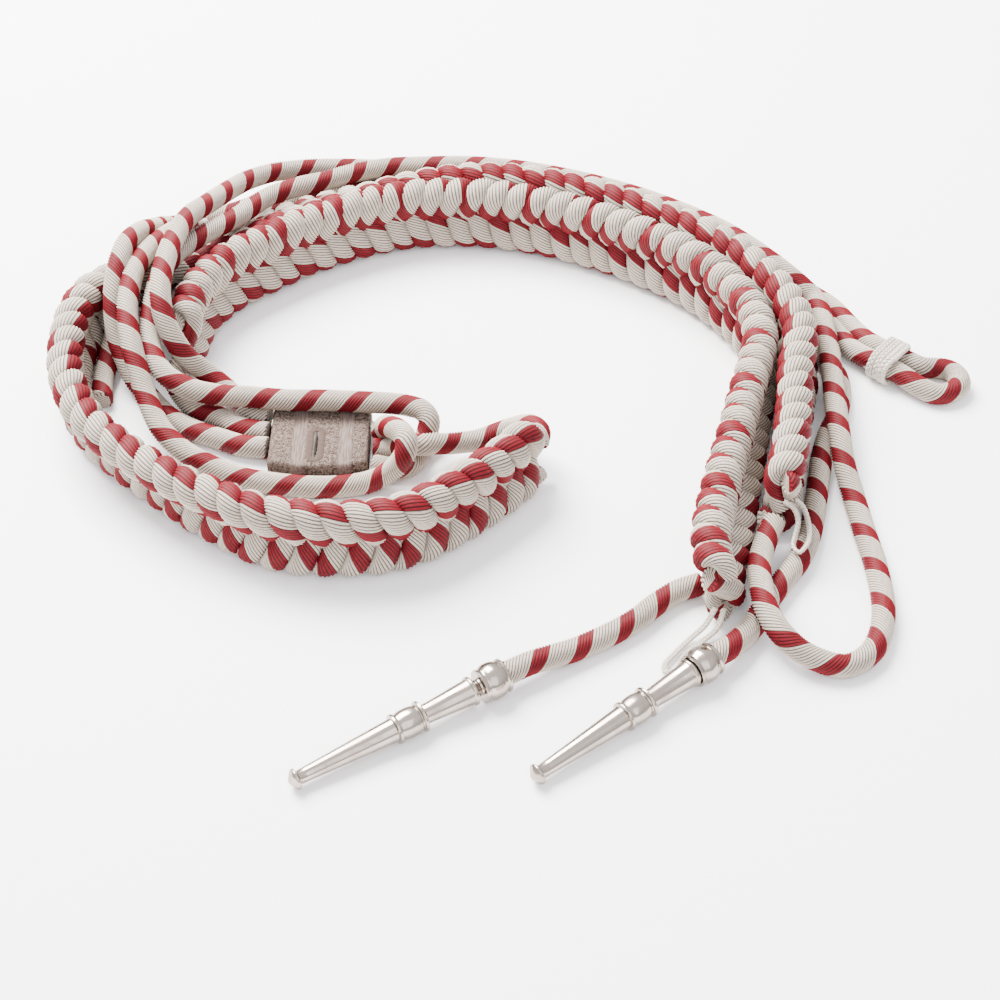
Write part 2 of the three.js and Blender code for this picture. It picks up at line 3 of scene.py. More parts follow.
import bmesh
import bpy
import numpy as np
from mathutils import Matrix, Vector


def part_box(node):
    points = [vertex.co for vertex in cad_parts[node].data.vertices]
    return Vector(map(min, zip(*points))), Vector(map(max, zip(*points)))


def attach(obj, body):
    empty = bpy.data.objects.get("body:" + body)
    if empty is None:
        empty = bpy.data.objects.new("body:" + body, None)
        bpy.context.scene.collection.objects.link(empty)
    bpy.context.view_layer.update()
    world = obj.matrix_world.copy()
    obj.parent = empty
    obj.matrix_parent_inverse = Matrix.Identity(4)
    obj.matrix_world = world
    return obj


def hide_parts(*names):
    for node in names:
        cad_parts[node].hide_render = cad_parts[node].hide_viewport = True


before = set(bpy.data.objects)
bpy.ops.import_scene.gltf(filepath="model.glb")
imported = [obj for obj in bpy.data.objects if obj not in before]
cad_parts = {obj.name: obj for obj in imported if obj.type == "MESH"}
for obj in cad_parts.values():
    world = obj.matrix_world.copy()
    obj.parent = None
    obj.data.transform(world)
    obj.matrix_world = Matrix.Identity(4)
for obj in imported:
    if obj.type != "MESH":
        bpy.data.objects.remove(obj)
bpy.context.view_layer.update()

# Camera. The aiguillette is seen from the front and well above, as it lies on a table.
# It looks at one spot of the table, with a long lens from a little over half a metre away.
seen_spot = Vector((-0.0046, -0.0336, 0))
camera_distance = 0.619
camera_elevation = math.radians(43)
camera_data = bpy.data.cameras.new("camera")
camera_data.sensor_width = 36
camera_data.lens = 68.4
camera = bpy.data.objects.new("camera", camera_data)
camera.location = seen_spot + camera_distance * Vector(
    (0, -math.cos(camera_elevation), math.sin(camera_elevation))
)
camera.rotation_euler = (math.pi / 2 - camera_elevation, 0, 0)
bpy.context.scene.collection.objects.link(camera)
bpy.context.scene.camera = camera

# Loose cords. Each is a cotton core wound closely with ribs of silver-white gimp thread and one
# stripe of crimson, all turning to the left. They run from the shoulder tab over the plaits and
# round the back, and end in a loop, in a plait or in a metal point.
cord_diameter = 0.007
# The real cord has more and finer ribs. They are drawn as coarse as they need to show.
cord_ribs = 14
cord_rib_relief = 0.075
cord_ring_spacing = 0.001
stripe_pitch = 0.0155
stripe_share = 0.36
# The crown colours are the threads' own. The groove colours are painted shade, darker where shade
# falls between the wound ribs.
silver_crown = "b9ac9e"
silver_painted_shade = "382a24"
crimson_crown = "6c0b16"
crimson_painted_shade = "220408"
# Marks per metre, for loose fibres 0.45 mm long and places 17 mm long that handling has dulled
fibre_marks = 2200.0
handling_marks = 60.0
curve_steps = 24
up = np.array((0.0, 0.0, 1.0))


def linear(colour):
    """An sRGB colour written as six hex digits, as linear light."""
    parts = [int(colour[i : i + 2], 16) / 255 for i in (0, 2, 4)]
    return tuple(c / 12.92 if c < 0.04045 else ((c + 0.055) / 1.055) ** 2.4 for c in parts) + (1,)


def add_node(tree, kind, settings=None, **inputs):
    """A shader node with its settings. An input is named, with _ for a space, or i and its number."""
    node = tree.nodes.new(kind)
    for key, value in (settings or {}).items():
        setattr(node, key, value)
    for key, value in inputs.items():
        numbered = key[0] == "i" and key[1:].isdigit()
        socket = node.inputs[int(key[1:]) if numbered else key.replace("_", " ")]
        if isinstance(value, bpy.types.NodeSocket):
            tree.links.new(value, socket)
        else:
            socket.default_value = value
    return node


def new_material(name):
    """A material, its node tree and its Principled shader."""
    material = bpy.data.materials.new(name)
    material.use_nodes = True
    return material, material.node_tree, material.node_tree.nodes["Principled BSDF"]


def wound_gimp(name):
    """Gimp thread wound side by side. It gives the eye pale ribs with dark lines of painted shade
    between them and one broad crimson stripe, with hardly any gloss. V runs round the cord, so both
    turn with it."""
    material, tree, shader = new_material(name)
    uv = add_node(tree, "ShaderNodeUVMap")
    across = add_node(tree, "ShaderNodeSeparateXYZ", Vector=uv.outputs[0]).outputs[1]
    rib = add_node(
        tree, "ShaderNodeMath", {"operation": "MULTIPLY"}, i0=across, i1=float(cord_ribs)
    )
    crown = add_node(tree, "ShaderNodeMath", {"operation": "PINGPONG"}, i0=rib.outputs[0], i1=0.5)
    # Painted shade: the colour darkens from each rib's crown into the groove beside it.
    groove_shade_mask = add_node(
        tree,
        "ShaderNodeMapRange",
        Value=crown.outputs[0],
        From_Min=0.03,
        From_Max=0.34,
        To_Min=1.0,
        To_Max=0.0,
    )
    place = add_node(tree, "ShaderNodeTexCoord").outputs["Object"]
    fibre = add_node(tree, "ShaderNodeTexNoise", Vector=place, Scale=fibre_marks, Detail=2.0)
    fleck = add_node(
        tree,
        "ShaderNodeMapRange",
        Value=fibre.outputs[0],
        From_Min=0.42,
        From_Max=0.7,
        To_Min=0.0,
        To_Max=0.35,
    )
    handling = add_node(tree, "ShaderNodeTexNoise", Vector=place, Scale=handling_marks, Detail=3.0)
    worn = add_node(
        tree,
        "ShaderNodeMapRange",
        Value=handling.outputs[0],
        From_Min=0.45,
        From_Max=0.75,
        To_Min=0.0,
        To_Max=0.18,
    )
    marks = add_node(
        tree, "ShaderNodeMath", {"operation": "ADD"}, i0=fleck.outputs[0], i1=worn.outputs[0]
    )
    # The painted groove shade, or the loose-fibre and handling marks where those are darker.
    shade_and_marks = add_node(
        tree,
        "ShaderNodeMath",
        {"operation": "MAXIMUM", "use_clamp": True},
        i0=groove_shade_mask.outputs[0],
        i1=marks.outputs[0],
    ).outputs[0]
    threads = []
    for crown_colour, painted_shade_colour in (
        (silver_crown, silver_painted_shade),
        (crimson_crown, crimson_painted_shade),
    ):
        thread = add_node(
            tree,
            "ShaderNodeMix",
            {"data_type": "RGBA"},
            i0=shade_and_marks,
            i6=linear(crown_colour),
            i7=linear(painted_shade_colour),
        )
        threads.append(thread.outputs[2])
    in_stripe = add_node(
        tree, "ShaderNodeMath", {"operation": "LESS_THAN"}, i0=across, i1=stripe_share
    )
    colour = add_node(
        tree,
        "ShaderNodeMix",
        {"data_type": "RGBA"},
        i0=in_stripe.outputs[0],
        i6=threads[0],
        i7=threads[1],
    )
    rise = add_node(tree, "ShaderNodeMath", {"operation": "SUBTRACT"}, i0=1.0, i1=shade_and_marks)
    bump = add_node(tree, "ShaderNodeBump", Strength=0.5, Distance=0.0002, Height=rise.outputs[0])
    tree.links.new(colour.outputs[2], shader.inputs["Base Color"])
    tree.links.new(bump.outputs[0], shader.inputs["Normal"])
    shader.inputs["Roughness"].default_value = 0.62
    shader.inputs["Specular IOR Level"].default_value = 0.15
    return material


gimp = wound_gimp("silver and crimson gimp thread")


def add_piece(name, shape, material, nodes):
    """The mesh as a piece of the aiguillette, in place of the part's plain solids."""
    mesh = bpy.data.meshes.new(name)
    shape.to_mesh(mesh)
    shape.free()
    mesh.materials.append(material)
    piece = bpy.data.objects.new(name, mesh)
    bpy.context.scene.collection.objects.link(piece)
    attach(piece, "root")
    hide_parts(*nodes)
    return piece


def even_steps(line, spacing):
    """The same line with its points evenly spaced, and any further columns carried along."""
    run = np.concatenate([[0], np.cumsum(np.linalg.norm(np.diff(line[:, :3], axis=0), axis=1))])
    stops = np.linspace(0, run[-1], max(2, round(run[-1] / spacing)) + 1)
    return np.stack([np.interp(stops, run, column) for column in line.T], axis=1)


def smooth_route(points, spacing):
    """Evenly spaced points on a centripetal curve through the given ones."""
    rows = np.array(points, float)
    rows = np.vstack([2 * rows[0] - rows[1], rows, 2 * rows[-1] - rows[-2]])
    knots = np.concatenate([[0], np.cumsum(np.linalg.norm(np.diff(rows, axis=0), axis=1) ** 0.5)])
    parts = []
    for i in range(1, len(rows) - 2):
        t0, t1, t2, t3 = knots[i - 1 : i + 3]
        p0, p1, p2, p3 = rows[i - 1 : i + 3]
        t = np.linspace(t1, t2, curve_steps, endpoint=False)[:, None]
        a1 = ((t1 - t) * p0 + (t - t0) * p1) / (t1 - t0)
        a2 = ((t2 - t) * p1 + (t - t1) * p2) / (t2 - t1)
        a3 = ((t3 - t) * p2 + (t - t2) * p3) / (t3 - t2)
        b1 = ((t2 - t) * a1 + (t - t0) * a2) / (t2 - t0)
        b2 = ((t3 - t) * a2 + (t - t1) * a3) / (t3 - t1)
        parts.append(((t2 - t) * b1 + (t - t1) * b2) / (t2 - t1))
    return even_steps(np.vstack(parts + [rows[-2:-1]]), spacing)


def unit(vectors):
    """The same directions, each one long."""
    return vectors / np.linalg.norm(vectors, axis=-1, keepdims=True)


def untwisted_side(line):
    """The way a line runs at each point, and a side to it that is carried along without a twist."""
    way = unit(np.gradient(line, axis=0))
    level = np.cross(way[0], up)
    side = level if np.linalg.norm(level) > 0.2 else np.cross(way[0], (1.0, 0.0, 0.0))
    sides = []
    for direction in way:
        side = unit(side - direction * side.dot(direction))
        sides.append(side)
    return way, np.array(sides)


def line_length(line):
    """How far it is along a line of points."""
    return float(np.linalg.norm(np.diff(line, axis=0), axis=1).sum())


def wind_skin(name, tubes, ribs, relief, material, nodes):
    """A ribbed skin rolled round each line. Each ring is an oval, its ribs turned from the last."""
    around = 2 * ribs
    skin = bmesh.new()
    skin.loops.layers.uv.new("UVMap")
    for line, flat, wide, half_flat, half_wide, turn in tubes:
        angle = 2 * math.pi * np.arange(around + 1) / around + turn[:, None]
        swell = 1 + relief * (np.arange(around + 1) % 2 * 2 - 1)
        spot = line[:, None] + flat[:, None] * (half_flat * swell * np.cos(angle))[:, :, None]
        spot = spot + wide[:, None] * (half_wide * swell * np.sin(angle))[:, :, None]
        rings = len(line)
        grid = bmesh.ops.create_grid(
            skin, x_segments=rings - 1, y_segments=around, size=1, calc_uvs=True
        )
        seam = []
        for vertex in grid["verts"]:
            ring = round((vertex.co.x + 1) / 2 * (rings - 1))
            step = round((vertex.co.y + 1) / 2 * around)
            vertex.co = spot[ring, step]
            if step in (0, around):
                seam.append(vertex)
        bmesh.ops.remove_doubles(skin, verts=seam, dist=1e-7)
        ends = [edge for edge in skin.edges if edge.is_boundary]
        bmesh.ops.holes_fill(skin, edges=ends, sides=around)
    bmesh.ops.recalc_face_normals(skin, faces=skin.faces)
    for face in skin.faces:
        face.smooth = len(face.verts) == 4
    return add_piece(name, skin, material, nodes)


def lay_cord(node, points, first_turn):
    """A loose cord along its points.
    first_turn is how far round the stripe starts, in radians, so that no two cords match."""
    line = smooth_route(np.array(points) - laid_middle, cord_ring_spacing)
    way, side = untwisted_side(line)
    length = line_length(line)
    turn = first_turn - np.linspace(0, length, len(line)) * 2 * math.pi / stripe_pitch
    half = cord_diameter / 2
    tube = (line, side, np.cross(way, side), half, half, turn)
    piece = wind_skin(f"{node}_gimp", [tube], cord_ribs, cord_rib_relief, gimp, [node])


# The routes are given points, in metres, as in the part's source. They are counted from a
# spot of the table that lies this far from the point under the middle of the whole.
laid_middle = np.array((0.0046, 0.0336, 0.0))
button_points = [
    (-0.0773, 0.0209, 0.0042), (-0.086, 0.0223, 0.004), (-0.094, 0.026, 0.0038),
    (-0.103, 0.0304, 0.0037), (-0.1118, 0.037, 0.0037), (-0.1195, 0.0465, 0.004),
    (-0.1256, 0.054, 0.006), (-0.1288, 0.059, 0.0095), (-0.1318, 0.0645, 0.014),
    (-0.1333, 0.071, 0.0205), (-0.1336, 0.078, 0.027), (-0.1328, 0.087, 0.032),
    (-0.1312, 0.097, 0.033), (-0.1284, 0.108, 0.03), (-0.1262, 0.1195, 0.0235),
    (-0.125, 0.131, 0.0165), (-0.122, 0.1425, 0.009), (-0.1135, 0.1525, 0.0044),
    (-0.1015, 0.16, 0.0036), (-0.0895, 0.1678, 0.0036), (-0.076, 0.1746, 0.0036),
    (-0.0615, 0.1808, 0.0036), (-0.0463, 0.1838, 0.0036), (-0.029, 0.1843, 0.0036),
    (-0.0134, 0.1825, 0.0036), (0.0016, 0.1791, 0.0036), (0.0155, 0.1746, 0.0036),
    (0.029, 0.1693, 0.0036), (0.0422, 0.1632, 0.0036), (0.0548, 0.1564, 0.0036),
    (0.0669, 0.1488, 0.0036), (0.0784, 0.1402, 0.0036), (0.0896, 0.1302, 0.0036),
    (0.0998, 0.119, 0.0036), (0.1072, 0.1124, 0.0036), (0.114, 0.1058, 0.0036),
    (0.1198, 0.0988, 0.0036), (0.1236, 0.0914, 0.0036), (0.1266, 0.084, 0.0039),
    (0.1293, 0.078, 0.0049), (0.1335, 0.0721, 0.0057), (0.142, 0.065, 0.0057),
    (0.1464, 0.0629, 0.0049), (0.1514, 0.0634, 0.0039), (0.1558, 0.0628, 0.0036),
    (0.1586, 0.0596, 0.0036), (0.1588, 0.0546, 0.0036), (0.1554, 0.0508, 0.0036),
    (0.1498, 0.0496, 0.0036), (0.1436, 0.0528, 0.0047), (0.1374, 0.059, 0.0057),
    (0.1289, 0.0661, 0.0057), (0.1242, 0.0724, 0.0046), (0.1214, 0.0798, 0.0036),
    (0.1184, 0.087, 0.0036), (0.1146, 0.094, 0.0036), (0.1086, 0.1006, 0.0036),
    (0.1016, 0.107, 0.0036), (0.0941, 0.1135, 0.0036), (0.0845, 0.1245, 0.0036),
    (0.074, 0.1341, 0.0036), (0.0628, 0.1425, 0.0036), (0.0512, 0.1499, 0.0036),
    (0.0391, 0.1564, 0.0036), (0.0265, 0.1622, 0.0036), (0.0136, 0.1673, 0.0036),
    (0, 0.1716, 0.0036), (-0.0141, 0.175, 0.0036), (-0.0286, 0.1767, 0.0036),
    (-0.0444, 0.1762, 0.0036), (-0.0589, 0.1728, 0.0036), (-0.0727, 0.1674, 0.0036),
    (-0.0854, 0.1608, 0.0036), (-0.0974, 0.1528, 0.0038), (-0.1064, 0.1458, 0.005),
    (-0.113, 0.1398, 0.0098), (-0.116, 0.1286, 0.018), (-0.1184, 0.1175, 0.0235),
    (-0.1216, 0.107, 0.027), (-0.1248, 0.097, 0.029), (-0.1266, 0.087, 0.03),
    (-0.1276, 0.077, 0.0295), (-0.127, 0.064, 0.027), (-0.1246, 0.0527, 0.023),
    (-0.1214, 0.0435, 0.018), (-0.118, 0.035, 0.0135), (-0.1125, 0.0245, 0.0095),
    (-0.104, 0.0163, 0.0065), (-0.0935, 0.0106, 0.0046), (-0.0845, 0.0066, 0.0038),
    (-0.075, 0.0042, 0.0036), (-0.062, 0.0024, 0.0036), (-0.052, 0.0026, 0.0036),
    (-0.0426, 0.0042, 0.0042), (-0.0366, 0.0046, 0.0076), (-0.0328, 0.0036, 0.0124),
    (-0.0306, 0.003, 0.017), (-0.0299, 0.005, 0.0202), (-0.031, 0.0086, 0.0204),
    (-0.033, 0.0124, 0.0195), (-0.0355, 0.017, 0.0168), (-0.0376, 0.0218, 0.013),
    (-0.038, 0.0256, 0.0094), (-0.039, 0.0278, 0.0058), (-0.0419, 0.0283, 0.0046),
]
loop_points = [
    (-0.0422, 0.0126, 0.0042), (-0.0389, 0.012, 0.0037), (-0.0348, 0.0116, 0.0036),
    (-0.0309, 0.0122, 0.0036), (-0.0276, 0.0162, 0.0036), (-0.0257, 0.0212, 0.0042),
    (-0.0243, 0.0252, 0.007), (-0.0236, 0.0276, 0.0102), (-0.0256, 0.0306, 0.0119),
    (-0.0296, 0.0328, 0.0121), (-0.035, 0.0342, 0.0121), (-0.046, 0.0352, 0.0121),
    (-0.058, 0.036, 0.0121), (-0.072, 0.0363, 0.0121), (-0.084, 0.0376, 0.0123),
    (-0.095, 0.0383, 0.0126), (-0.1033, 0.0398, 0.0136), (-0.1108, 0.043, 0.0155),
    (-0.1158, 0.0483, 0.0172), (-0.119, 0.056, 0.0191), (-0.1204, 0.065, 0.0215),
    (-0.1199, 0.076, 0.0245), (-0.1186, 0.088, 0.0268), (-0.1143, 0.099, 0.0276),
    (-0.1065, 0.1115, 0.0265), (-0.0965, 0.126, 0.0238), (-0.0865, 0.1415, 0.0223),
    (-0.076, 0.1476, 0.0226), (-0.0664, 0.1528, 0.0218), (-0.0556, 0.1612, 0.0199),
    (-0.043, 0.1682, 0.0179), (-0.0286, 0.1704, 0.0171), (-0.0147, 0.1698, 0.0177),
    (-0.0009, 0.1676, 0.0182), (0.0124, 0.1642, 0.0185), (0.0254, 0.1598, 0.0186),
    (0.038, 0.1545, 0.0186), (0.0503, 0.1483, 0.0186), (0.0618, 0.1411, 0.0186),
    (0.0728, 0.133, 0.0186), (0.0834, 0.1237, 0.0186), (0.0929, 0.1126, 0.0184),
    (0.0986, 0.1064, 0.0174), (0.1034, 0.1018, 0.0159), (0.1084, 0.0978, 0.0134),
    (0.1122, 0.0936, 0.0114), (0.1138, 0.086, 0.0112), (0.114, 0.076, 0.0111),
    (0.114, 0.064, 0.011), (0.1134, 0.05, 0.011), (0.1126, 0.036, 0.011), (0.112, 0.021, 0.0104),
    (0.1124, 0.008, 0.0075), (0.1142, -0.004, 0.0045), (0.1153, -0.016, 0.0036),
    (0.117, -0.036, 0.0036), (0.1161, -0.056, 0.0036), (0.1108, -0.0696, 0.0036),
    (0.102, -0.0756, 0.0036), (0.0906, -0.0734, 0.006), (0.0832, -0.068, 0.0096),
    (0.0798, -0.0604, 0.011), (0.079, -0.051, 0.011), (0.0798, -0.039, 0.01),
    (0.083, -0.028, 0.0095), (0.086, -0.0208, 0.0105),
]
long_tip_points = [
    (-0.078, 0.0362, 0.0042), (-0.0835, 0.0386, 0.0043), (-0.0895, 0.0454, 0.0046),
    (-0.0955, 0.051, 0.0065), (-0.101, 0.0538, 0.01), (-0.106, 0.0543, 0.015),
    (-0.1103, 0.0562, 0.021), (-0.1138, 0.0608, 0.027), (-0.1158, 0.068, 0.032),
    (-0.116, 0.079, 0.0346), (-0.1144, 0.096, 0.035), (-0.111, 0.112, 0.034),
    (-0.1062, 0.124, 0.031), (-0.1012, 0.137, 0.0274), (-0.0954, 0.1495, 0.024),
    (-0.0874, 0.1605, 0.0204), (-0.077, 0.1694, 0.0164), (-0.064, 0.175, 0.0132),
    (-0.05, 0.177, 0.0115), (-0.0362, 0.1762, 0.0112), (-0.0215, 0.1752, 0.0112),
    (-0.0072, 0.1726, 0.0112), (0.0066, 0.1688, 0.0112), (0.0197, 0.1643, 0.0112),
    (0.0325, 0.159, 0.0112), (0.0449, 0.1528, 0.0112), (0.0567, 0.146, 0.0112),
    (0.0682, 0.1382, 0.0112), (0.079, 0.1295, 0.0112), (0.0891, 0.1191, 0.0112),
    (0.0939, 0.113, 0.0112), (0.0979, 0.107, 0.0106), (0.1012, 0.1009, 0.009),
    (0.1046, 0.0946, 0.006), (0.1075, 0.0884, 0.0039), (0.1122, 0.0756, 0.0036),
    (0.1154, 0.066, 0.0036), (0.1172, 0.056, 0.0036), (0.1164, 0.046, 0.0036),
    (0.1136, 0.0365, 0.0036), (0.11, 0.028, 0.0036), (0.1068, 0.018, 0.0036),
    (0.1042, 0.006, 0.0036), (0.102, -0.004, 0.0036), (0.1, -0.013, 0.0036),
    (0.0975, -0.022, 0.0036), (0.093, -0.032, 0.0036), (0.087, -0.041, 0.0036),
    (0.08, -0.052, 0.0036), (0.0764, -0.0594, 0.0037), (0.0724, -0.0653, 0.0048),
    (0.068, -0.0705, 0.0059), (0.0639, -0.0739, 0.0062), (0.0602, -0.0768, 0.006),
]
short_tip_points = [
    (0.0618, -0.0418, 0.0037), (0.055, -0.0446, 0.0036), (0.048, -0.05, 0.0036),
    (0.0405, -0.0574, 0.0036), (0.031, -0.0642, 0.0036), (0.022, -0.0695, 0.0039),
    (0.015, -0.0732, 0.0049), (0.0088, -0.0766, 0.0059), (0.0021, -0.0807, 0.0061),
    (-0.0016, -0.0831, 0.006),
]
short_lead_points = [
    (-0.0778, 0.0286, 0.0042), (-0.087, 0.0311, 0.0042), (-0.096, 0.0374, 0.0042),
    (-0.103, 0.0408, 0.0042), (-0.1079, 0.0458, 0.0046), (-0.111, 0.051, 0.006),
    (-0.1112, 0.056, 0.008), (-0.11, 0.0608, 0.01),
]
long_lead_points = [
    (-0.0422, 0.0204, 0.0042), (-0.0385, 0.0202, 0.0042), (-0.035, 0.0188, 0.0064),
    (-0.0318, 0.0159, 0.0105), (-0.0286, 0.0142, 0.0116), (-0.0254, 0.0138, 0.0118),
    (-0.0212, 0.0158, 0.0106), (-0.017, 0.0182, 0.0086), (-0.012, 0.0206, 0.007),
    (-0.0073, 0.0222, 0.0065), (-0.0013, 0.0242, 0.0075), (0.005, 0.024, 0.0105),
    (0.01, 0.0206, 0.0143), (0.0128, 0.016, 0.0155), (0.0123, 0.0114, 0.0148),
]
tucked_points = [
    (-0.1344, 0.082, 0.013), (-0.136, 0.074, 0.008), (-0.1372, 0.065, 0.0046),
    (-0.1373, 0.055, 0.0037), (-0.1361, 0.046, 0.0037),
]

# Metal points. Each tip cord ends in a pointed tube of polished nickel silver. It is turned on a
# lathe and screws onto the threaded collar that holds the cord, and one has come unscrewed a bit.
# Profiles and lengths are in millimetres, as radius and distance from the point's tip.
point_profile = [
    (0, 0), (0.8, 0.2), (2.9, 1.7), (3.15, 1.95), (3.2, 2.15), (3.2, 2.45), (3.05, 2.65),
    (2.3, 2.9), (2.1, 3.2), (2.2, 6), (3.6, 33.2), (3.65, 33.7), (4.1, 33.8), (4.55, 34.05),
    (4.6, 34.3), (4.6, 34.7), (4.45, 34.95), (4.05, 35.1), (3.95, 35.4), (4.2, 36.2),
    (4.37, 37.1), (4.45, 38), (4.45, 39.2), (4.37, 40.1), (4.2, 41), (3.95, 41.8), (4.1, 42.1),
    (4.65, 42.3), (4.8, 42.5), (4.8, 43), (4.6, 43.25), (3.3, 43.5), (3, 43.9), (3.05, 46),
    (3.9, 58.4), (4.1, 59.1), (4.4, 59.3), (4.5, 59.5), (4.5, 60.1), (4.4, 60.3), (3.1, 60.3),
    (3.1, 55.3), (0, 55.3),
]
# The collar's distances are counted from the rim that the point screws up to
collar_profile = [
    (0, -3.4), (2.6, -3.4), (2.8, -3.1), (2.55, -2.8), (2.8, -2.5), (2.55, -2.2), (2.8, -1.9),
    (2.55, -1.6), (2.8, -1.3), (2.55, -1), (2.8, -0.7), (2.55, -0.4), (2.7, 0), (5, 0),
    (5.15, 0.15), (5.15, 0.8), (5, 1), (4.9, 1.25), (5, 1.6), (5.35, 2.2), (5.6, 2.9),
    (5.7, 3.6), (5.7, 4.6), (5.6, 5.4), (5.35, 6.2), (5, 6.9), (4.9, 7.3), (5.05, 7.45),
    (5.25, 7.65), (5.25, 8.2), (5.1, 8.4), (4, 8.4), (4, 3.9), (0, 3.9),
]
point_length = 60.3
collar_length = 8.4
cord_seat = 3.3
tip_flange_radius = 3.2
tip_cone = 2.1
collar_radius = 5.7
tip_height = 0.00335
lathe_steps = 64
sharp_angle = math.radians(38)
nickel_bright = "b9ada2"
nickel_dull = "7c7067"
# Clouds of 5.5 mm, per metre
cloud_marks = 180.0


def polished_nickel(name):
    """Polished nickel silver. It gives the eye a warm grey mirror, clouded a little by handling."""
    material, tree, shader = new_material(name)
    place = add_node(tree, "ShaderNodeTexCoord").outputs["Object"]
    cloud = add_node(tree, "ShaderNodeTexNoise", Vector=place, Scale=cloud_marks, Detail=4.0)
    colour = add_node(
        tree,
        "ShaderNodeMix",
        {"data_type": "RGBA"},
        i0=cloud.outputs[0],
        i6=linear(nickel_bright),
        i7=linear(nickel_dull),
    )
    haze = add_node(
        tree,
        "ShaderNodeMapRange",
        Value=cloud.outputs[0],
        From_Min=0.35,
        From_Max=0.7,
        To_Min=0.14,
        To_Max=0.3,
    )
    tree.links.new(colour.outputs[2], shader.inputs["Base Color"])
    tree.links.new(haze.outputs[0], shader.inputs["Roughness"])
    shader.inputs["Metallic"].default_value = 1.0
    return material


nickel = polished_nickel("polished nickel silver")


def turn_metal(node, profile, start, tip, way):
    """A piece turned from its profile, in millimetres, along the way from the point's tip."""
    turned = bmesh.new()
    side = way.orthogonal().normalized()
    row = [
        turned.verts.new(tip + way * ((along + start) / 1000) + side * (radius / 1000))
        for radius, along in profile
    ]
    edges = [turned.edges.new(pair) for pair in zip(row, row[1:])]
    bmesh.ops.spin(
        turned, geom=row + edges, cent=tip, axis=way, angle=2 * math.pi, steps=lathe_steps
    )
    bmesh.ops.remove_doubles(turned, verts=turned.verts, dist=1e-6)
    bmesh.ops.recalc_face_normals(turned, faces=turned.faces)
    for face in turned.faces:
        face.smooth = True
    for edge in turned.edges:
        edge.smooth = edge.calc_face_angle(0) < sharp_angle
    return add_piece(f"{node}_turned", turned, nickel, [node])


def metal_point(number, cord_end, heading, opened):
    """A point and its collar, which holds the cord's end. Both lie on the table. heading is the
    way they point, and opened is how far the point has come off the collar."""
    rest_length = point_length + opened + collar_length / 2 - tip_cone
    rise = math.asin((collar_radius - tip_flange_radius) / rest_length)
    way = Vector(
        (math.cos(rise) * math.cos(heading), math.cos(rise) * math.sin(heading), math.sin(rise))
    )
    reach = (point_length + opened + collar_length - cord_seat) / 1000
    tip = Vector(cord_end) - Vector(laid_middle) - reach * way
    tip.z = tip_height
    return [
        turn_metal(f"point_{number}", point_profile, 0, tip, way),
        turn_metal(f"collar_{number}", collar_profile, point_length + opened, tip, way),
    ]


metal_point_1 = metal_point(1, short_tip_points[-1], heading=math.radians(32.1), opened=2.4)
metal_point_2 = metal_point(2, long_tip_points[-1], heading=math.radians(38.4), opened=0.3)

# The loose cords are laid here, after the metal points, which sit at the ends of the tip cords'
# points.
lay_cord("button_cord", button_points, 0.6)
lay_cord("loop_cord", loop_points, 2.2)
lay_cord("tip_cord_long", long_tip_points, 1.4)
lay_cord("tip_cord_short", short_tip_points, 3.0)
lay_cord("lead_cord_short", short_lead_points, 0.0)
lay_cord("lead_cord_long", long_lead_points, 4.0)
lay_cord("tucked_cord", tucked_points, 5.0)

# Plaits. Each is plaited flat from three strands of the same gimp cord, pulled so tight that the
# strands are pressed oval, and stands on its edge. The long one lies round the short one, and
# leans over it at the back left.
plait_height = 0.029
plait_thickness = 0.012
plaits_apart = 0.0013
# A strand swings by rise up and down the plait's height and by weave through its thickness, and is
# back after one period. It is pressed to half_flat by half_wide, and its stripe has its own pitch.
plait_sizes = {
    "rise": 0.0114,
    "weave": 0.0032,
    "half_flat": 0.0028,
    "half_wide": 0.00395,
    "period": 0.02415,
    "pitch": stripe_pitch,
    "ring_spacing": 0.00125,
    "taper": 0.006,
}
# Over its taper length, a braid's end draws in to this share of its height
end_taper = 0.85
strand_turn = 2.1
laid_width = 0.3
laid_depth = 0.2
side_half = (plait_height - plait_thickness) / 2

# across and away are shares of the laid width and depth, and lean is in degrees, with plus
# leaning the top edge to the right of the way the plait runs.
short_plait_rows = [
    (-0.361, 0.32, 0), (-0.36, 0.38, 0), (-0.348, 0.45, 0), (-0.325, 0.508, 0), (-0.29, 0.558, 0),
    (-0.237, 0.622, 0), (-0.182, 0.67, 0), (-0.13, 0.701, 0), (-0.077, 0.713, 0), (-0.02, 0.711, 0),
    (0.055, 0.684, 0), (0.126, 0.635, 0), (0.183, 0.58, 0), (0.228, 0.523, 0), (0.26, 0.463, 2),
    (0.283, 0.403, 4), (0.296, 0.34, 6), (0.298, 0.285, 7), (0.29, 0.225, 8), (0.277, 0.15, 11),
    (0.26, 0.04, 17), (0.245, -0.05, 22), (0.232, -0.135, 26), (0.222, -0.205, 22),
    (0.221, -0.272, 14),
]
long_plait_front_rows = [
    (0.035, 0.043, 4), (0.01, -0.01, 4), (-0.045, -0.092, 3), (-0.077, -0.13, 1),
    (-0.117, -0.157, 0), (-0.167, -0.165, 0), (-0.217, -0.159, 0), (-0.255, -0.14, -4),
    (-0.292, -0.107, -9), (-0.328, -0.072, -14), (-0.362, -0.031, -18), (-0.396, 0.014, -19),
    (-0.427, 0.059, -18), (-0.452, 0.107, -13), (-0.472, 0.165, -8), (-0.485, 0.23, -3),
    (-0.49, 0.29, 0), (-0.489, 0.35, 0), (-0.479, 0.411, 2), (-0.455, 0.467, 18),
    (-0.42, 0.519, 44), (-0.381, 0.57, 60),
]
